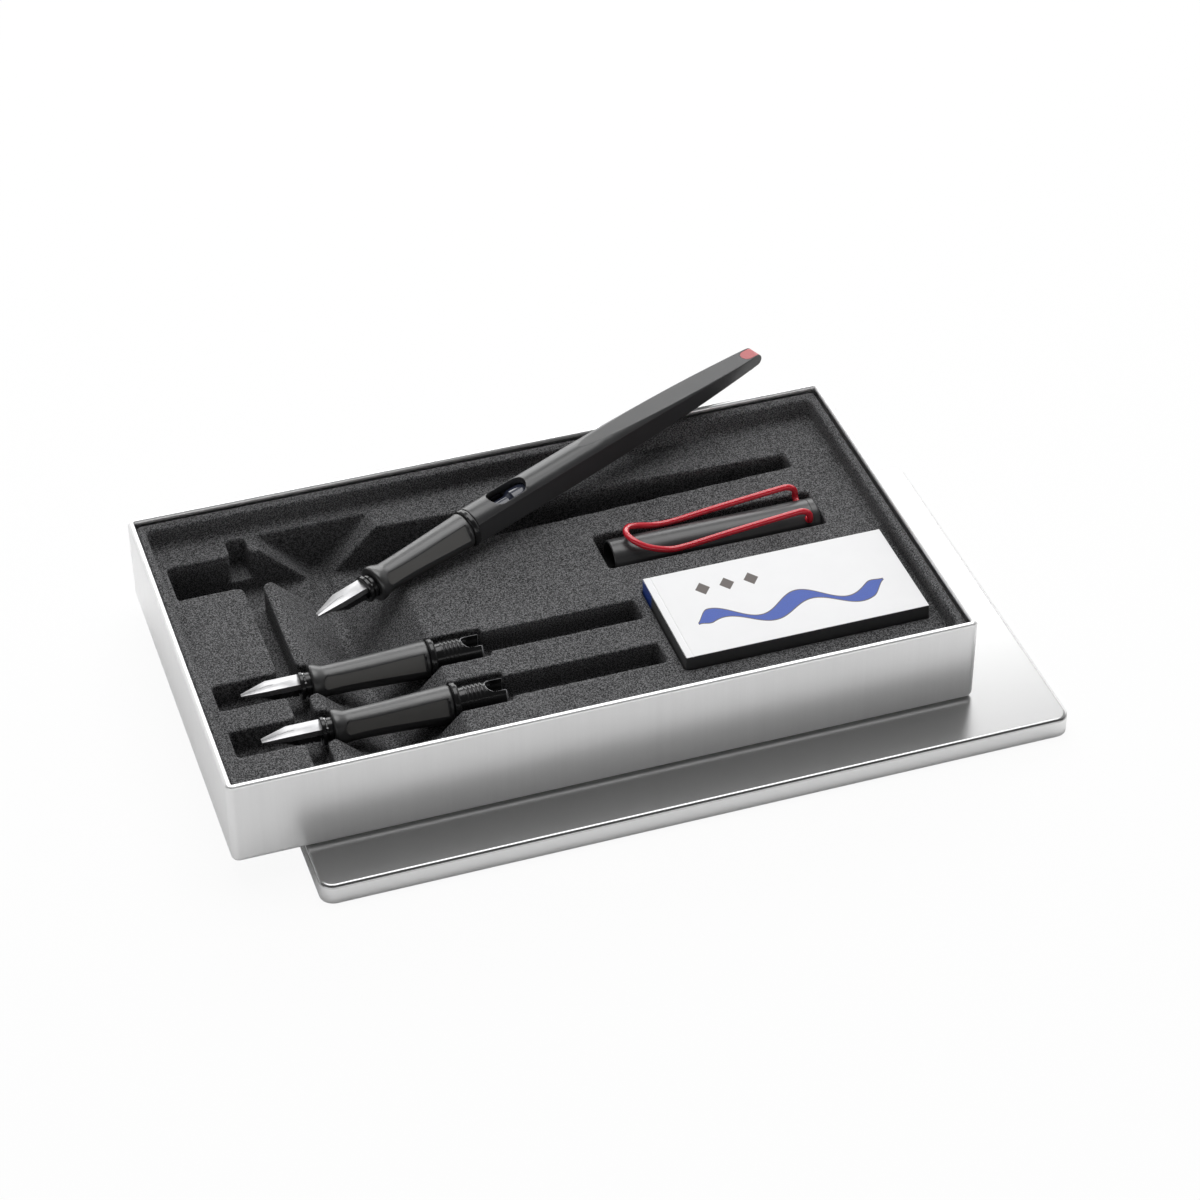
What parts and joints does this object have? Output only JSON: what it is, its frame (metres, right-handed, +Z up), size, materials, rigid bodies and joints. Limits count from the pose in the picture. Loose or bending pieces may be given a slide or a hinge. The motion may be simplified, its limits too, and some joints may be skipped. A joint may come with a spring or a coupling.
{
  "type": "calligraphy pen set in a metal box",
  "caption": "Open sheet-metal box on its own lid, with a flocked tray that holds a fountain pen, spare nib units, the pen's clipped cap and a carton of ink cartridges.",
  "frame": {"origin": "on the table, under the middle of the whole set as it stands: the edge of the lid's skirt is at z = 0", "axes": "+X along the length of the box towards its right-hand end, +Y from the front of the box to its back, +Z up"},
  "size_m": [0.2432, 0.1556, 0.0436],
  "materials": {
    "metal": "brushed, satin",
    "flock": "flocked black thermoformed sheet",
    "barrel_black": "satin black",
    "grip_black": "satin, soft sheen",
    "core_black": "gloss black",
    "nib_steel": "polished, lightly brushed",
    "clip_red": "gloss red lacquer",
    "end_red": "gloss red",
    "card_white": "printed white card",
    "ink_blue": "translucent cartridge filled with dark ink"
  },
  "bodies": {
    "lid": {"box_lid": "metal"},
    "box": {"box_shell": "metal"},
    "tray": {"tray_insert": "flock"},
    "pen_section": {"pen_grip": "grip_black", "pen_core": "core_black", "pen_ring": "core_black", "pen_feed": "core_black", "pen_nib": "nib_steel"},
    "barrel": {"pen_barrel": "barrel_black", "barrel_end_piece": "end_red"},
    "cartridge": {"pen_cartridge": "ink_blue"},
    "spare_a": {"spare_a_grip": "grip_black", "spare_a_core": "core_black", "spare_a_ring": "core_black", "spare_a_feed": "core_black", "spare_a_nib": "nib_steel"},
    "spare_b": {"spare_b_grip": "grip_black", "spare_b_core": "core_black", "spare_b_ring": "core_black", "spare_b_feed": "core_black", "spare_b_nib": "nib_steel"},
    "cap": {"cap_tube": "barrel_black", "cap_finial": "barrel_black", "cap_liner": "core_black"},
    "clip": {"cap_clip": "clip_red"},
    "pack": {"pack_carton": "card_white", "pack_end_flap": "card_white", "ink_cartridge_1": "ink_blue", "ink_cartridge_2": "ink_blue", "ink_cartridge_3": "ink_blue", "ink_cartridge_4": "ink_blue", "ink_cartridge_5": "ink_blue"}
  },
  "joints": [
    {"name": "box_lift", "type": "slide", "parent": "lid", "child": "box", "axis": [0, 0, 1], "range_m": [0, 0.06]},
    {"name": "tray_lift", "type": "slide", "parent": "box", "child": "tray", "axis": [0, 0, 1], "range_m": [0, 0.04]},
    {"name": "pen_lift", "type": "slide", "parent": "tray", "child": "pen_section", "axis": [0, 0, 1], "range_m": [0, 0.05]},
    {"name": "barrel_draw", "type": "slide", "parent": "pen_section", "child": "barrel", "axis": [0.9231, 0.3748, 0.086], "range_m": [0, 0.005]},
    {"name": "cartridge_draw", "type": "slide", "parent": "pen_section", "child": "cartridge", "axis": [0.9231, 0.3748, 0.086], "range_m": [0, 0.005]},
    {"name": "spare_a_lift", "type": "slide", "parent": "tray", "child": "spare_a", "axis": [0, 0, 1], "range_m": [0, 0.04]},
    {"name": "spare_b_lift", "type": "slide", "parent": "tray", "child": "spare_b", "axis": [0, 0, 1], "range_m": [0, 0.04]},
    {"name": "cap_lift", "type": "slide", "parent": "tray", "child": "cap", "axis": [0, 0, 1], "range_m": [0, 0.04]},
    {"name": "clip_spring", "type": "hinge", "parent": "cap", "child": "clip", "pos_m": [0.07445, 0.0168, 0.02465], "axis": [0, 1, 0], "range_deg": [0, 5], "stiffness_Nm_per_rad": 0.15},
    {"name": "pack_lift", "type": "slide", "parent": "tray", "child": "pack", "axis": [0, 0, 1], "range_m": [0, 0.03]}
  ]
}
